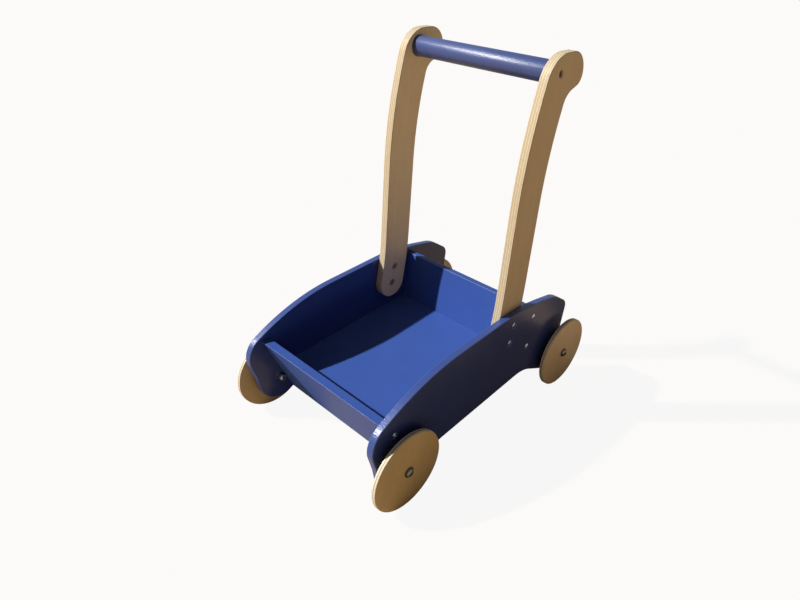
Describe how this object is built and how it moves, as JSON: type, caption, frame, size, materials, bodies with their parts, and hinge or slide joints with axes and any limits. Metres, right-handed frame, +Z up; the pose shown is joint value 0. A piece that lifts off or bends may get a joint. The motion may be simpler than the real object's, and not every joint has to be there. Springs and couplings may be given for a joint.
{
  "type": "baby push walker",
  "caption": "Wooden baby push walker: a painted tray with curved side panels on plywood disc wheels, and curved uprights that carry a round push bar.",
  "frame": {"origin": "on the ground, midway between the axles and between the side panels", "axes": "+X towards the left side as the child sees it, -Y the way it is pushed, +Z up"},
  "size_m": [0.2914, 0.461, 0.501],
  "materials": {
    "blue_paint": "satin blue paint on plywood",
    "plywood": "clear varnished birch plywood",
    "steel": "zinc plated",
    "nylon": "plain moulded"
  },
  "bodies": {
    "frame": {"left_side_panel": "blue_paint", "right_side_panel": "blue_paint", "front_panel": "blue_paint", "rear_panel": "blue_paint", "floor_panel": "blue_paint", "left_upright": "plywood", "right_upright": "plywood", "push_bar": "blue_paint", "front_left_bush": "nylon", "front_right_bush": "nylon", "rear_left_bush": "nylon", "rear_right_bush": "nylon", "front_left_axle_bolt": "steel", "front_right_axle_bolt": "steel", "rear_left_axle_bolt": "steel", "rear_right_axle_bolt": "steel", "axle_spacers": "nylon", "axle_washers": "steel", "nut_washers": "steel", "axle_nuts": "steel", "front_panel_screws": "steel", "rear_panel_screws": "steel", "push_bar_screws": "steel", "connector_bolts": "steel", "connector_barrels": "steel"},
    "front_left_wheel": {"front_left_wheel": "plywood"},
    "front_right_wheel": {"front_right_wheel": "plywood"},
    "rear_left_wheel": {"rear_left_wheel": "plywood"},
    "rear_right_wheel": {"rear_right_wheel": "plywood"}
  },
  "joints": [
    {"name": "front_left_wheel_spin", "type": "hinge", "parent": "frame", "child": "front_left_wheel", "pos_m": [0.1375, -0.1745, 0.056], "axis": [1, 0, 0], "continuous": true},
    {"name": "front_right_wheel_spin", "type": "hinge", "parent": "frame", "child": "front_right_wheel", "pos_m": [-0.1375, -0.1745, 0.056], "axis": [1, 0, 0], "continuous": true},
    {"name": "rear_left_wheel_spin", "type": "hinge", "parent": "frame", "child": "rear_left_wheel", "pos_m": [0.1375, 0.1745, 0.056], "axis": [1, 0, 0], "continuous": true},
    {"name": "rear_right_wheel_spin", "type": "hinge", "parent": "frame", "child": "rear_right_wheel", "pos_m": [-0.1375, 0.1745, 0.056], "axis": [1, 0, 0], "continuous": true}
  ]
}
